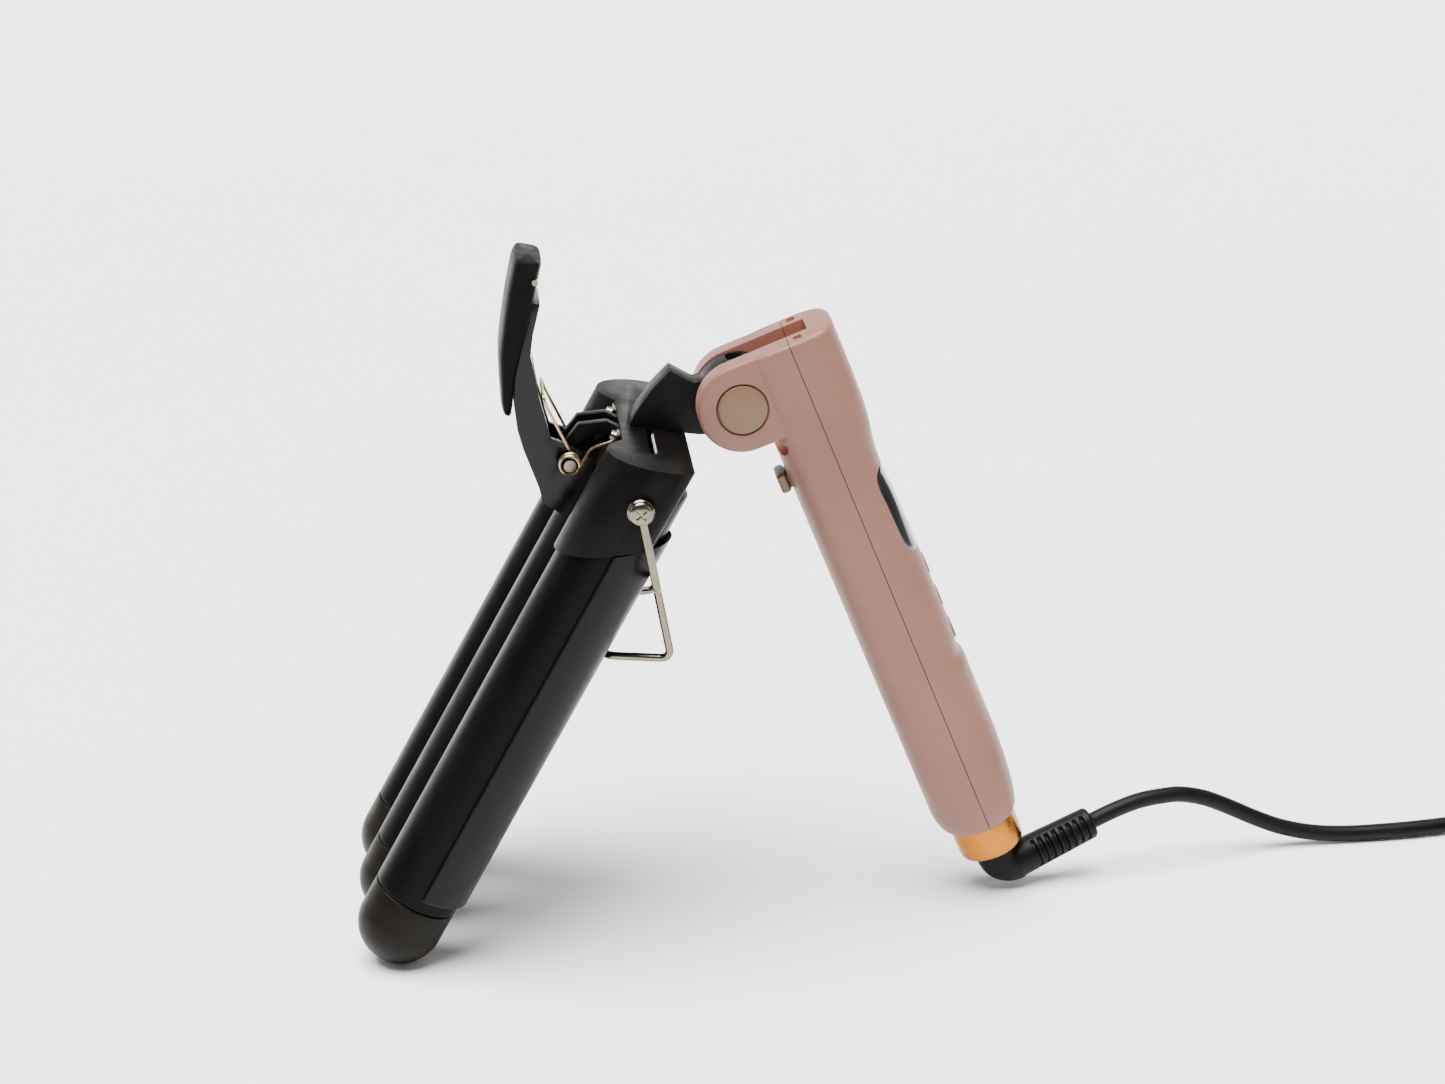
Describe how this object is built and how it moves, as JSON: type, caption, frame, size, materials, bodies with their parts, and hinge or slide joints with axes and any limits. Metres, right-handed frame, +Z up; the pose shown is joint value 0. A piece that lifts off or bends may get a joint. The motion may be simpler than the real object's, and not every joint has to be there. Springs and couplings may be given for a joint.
{
  "type": "curling iron",
  "caption": "Foldable hair waver standing open like a tent, with side-by-side barrels, a sprung lever, a wire stand, a pink handle and a swivel cord.",
  "frame": {"origin": "centre of the bounding box of the iron without its free cord, at the height of the surface it stands on", "axes": "+Z is up; +X runs from the barrels' tips to the cord end of the handle; +Y runs along the fold hinge, to the back"},
  "size_m": [0.414, 0.1076, 0.2041],
  "materials": {
    "grip_pink": "soft-touch matte dusty pink plastic",
    "trim_beige": "satin beige plastic",
    "black_plastic": "satin black heat-proof plastic",
    "gloss_black": "gloss black plastic",
    "barrel_black": "black ceramic coat on aluminium, satin",
    "neck_grey": "dark grey painted die-cast zinc, fine texture",
    "gold": "gold plated, satin",
    "display": "dark gloss acrylic",
    "board_green": "solder-masked glass laminate",
    "bright_steel": "bright nickel-plated steel wire and pins",
    "screw_steel": "dark zinc-plated steel",
    "contact_brass": "bare brass",
    "heater_ceramic": "ceramic heater between aluminium half rounds",
    "lead_sleeve": "white silicone sleeve",
    "cord_black": "black vinyl, matte"
  },
  "bodies": {
    "handle": {"handle_inner_shell": "grip_pink", "handle_outer_shell": "grip_pink", "shell_screws": "screw_steel", "fold_pin": "bright_steel", "pin_caps": "trim_beige", "friction_washers": "bright_steel", "display_window": "display", "display_board": "board_green", "control_board": "board_green", "handle_leads": "lead_sleeve", "end_ring": "gold", "swivel_bush": "black_plastic", "brush_contacts": "contact_brass", "lock_spring": "bright_steel", "cord_run": "cord_black", "cord_coil": "cord_black", "cord_tie": "black_plastic", "plug_body": "cord_black", "plug_pins": "bright_steel"},
    "barrel_frame": {"barrel_housing": "black_plastic", "hinge_neck": "neck_grey", "housing_cover": "black_plastic", "cover_screws": "screw_steel", "near_barrel": "barrel_black", "far_barrel": "barrel_black", "near_tip": "black_plastic", "far_tip": "black_plastic", "near_heater": "heater_ceramic", "far_heater": "heater_ceramic", "near_heat_guard": "gloss_black", "far_heat_guard": "gloss_black", "lever_pin": "bright_steel", "spring_anchor": "bright_steel", "stand_screws": "bright_steel", "neck_leads": "lead_sleeve", "lever_spring": "bright_steel"},
    "clamp_lever": {"middle_barrel": "barrel_black", "middle_tip": "black_plastic", "middle_heater": "heater_ceramic", "lever_arm": "gloss_black", "thumb_pad": "black_plastic", "pad_pin": "bright_steel"},
    "stand": {"wire_stand": "bright_steel"},
    "lock_slider": {"lock_bolt": "screw_steel", "lock_knob": "trim_beige"},
    "power_key": {"power_button": "trim_beige"},
    "hotter_key": {"hotter_button": "trim_beige"},
    "cooler_key": {"cooler_button": "trim_beige"},
    "cord_swivel": {"cord_elbow": "black_plastic", "swivel_spindle": "black_plastic", "slip_rings": "contact_brass"}
  },
  "joints": [
    {"name": "fold_hinge", "type": "hinge", "parent": "handle", "child": "barrel_frame", "pos_m": [0.00274, 0, 0.15878], "axis": [0, 1, 0], "range_deg": [-50.55, 129.44]},
    {"name": "lever_hinge", "type": "hinge", "parent": "barrel_frame", "child": "clamp_lever", "pos_m": [-0.04645, 0, 0.14431], "axis": [0, 1, 0], "range_deg": [0, 28], "stiffness_Nm_per_rad": 0.6, "springref_deg": -28.65, "deforming": ["lever_spring"]},
    {"name": "stand_hinge", "type": "hinge", "parent": "barrel_frame", "child": "stand", "pos_m": [-0.02847, 0, 0.14063], "axis": [0, -1, 0], "range_deg": [0, 50]},
    {"name": "lock_slide", "type": "slide", "parent": "handle", "child": "lock_slider", "axis": [0.3674, 0, -0.9301], "range_m": [0, 0.0035], "stiffness_N_per_m": 400, "springref_m": -0.003, "deforming": ["lock_spring"]},
    {"name": "power_press", "type": "slide", "parent": "handle", "child": "power_key", "axis": [-0.9301, 0, -0.3674], "range_m": [0, 0.0006], "stiffness_N_per_m": 500, "springref_m": -0.0006},
    {"name": "hotter_press", "type": "slide", "parent": "handle", "child": "hotter_key", "axis": [-0.9301, 0, -0.3674], "range_m": [0, 0.0006], "stiffness_N_per_m": 500, "springref_m": -0.0006},
    {"name": "cooler_press", "type": "slide", "parent": "handle", "child": "cooler_key", "axis": [-0.9301, 0, -0.3674], "range_m": [0, 0.0006], "stiffness_N_per_m": 500, "springref_m": -0.0006},
    {"name": "cord_swivel_turn", "type": "hinge", "parent": "handle", "child": "cord_swivel", "pos_m": [0.0822, 0, 0.0062], "axis": [-0.3674, 0, 0.9301], "continuous": true}
  ]
}
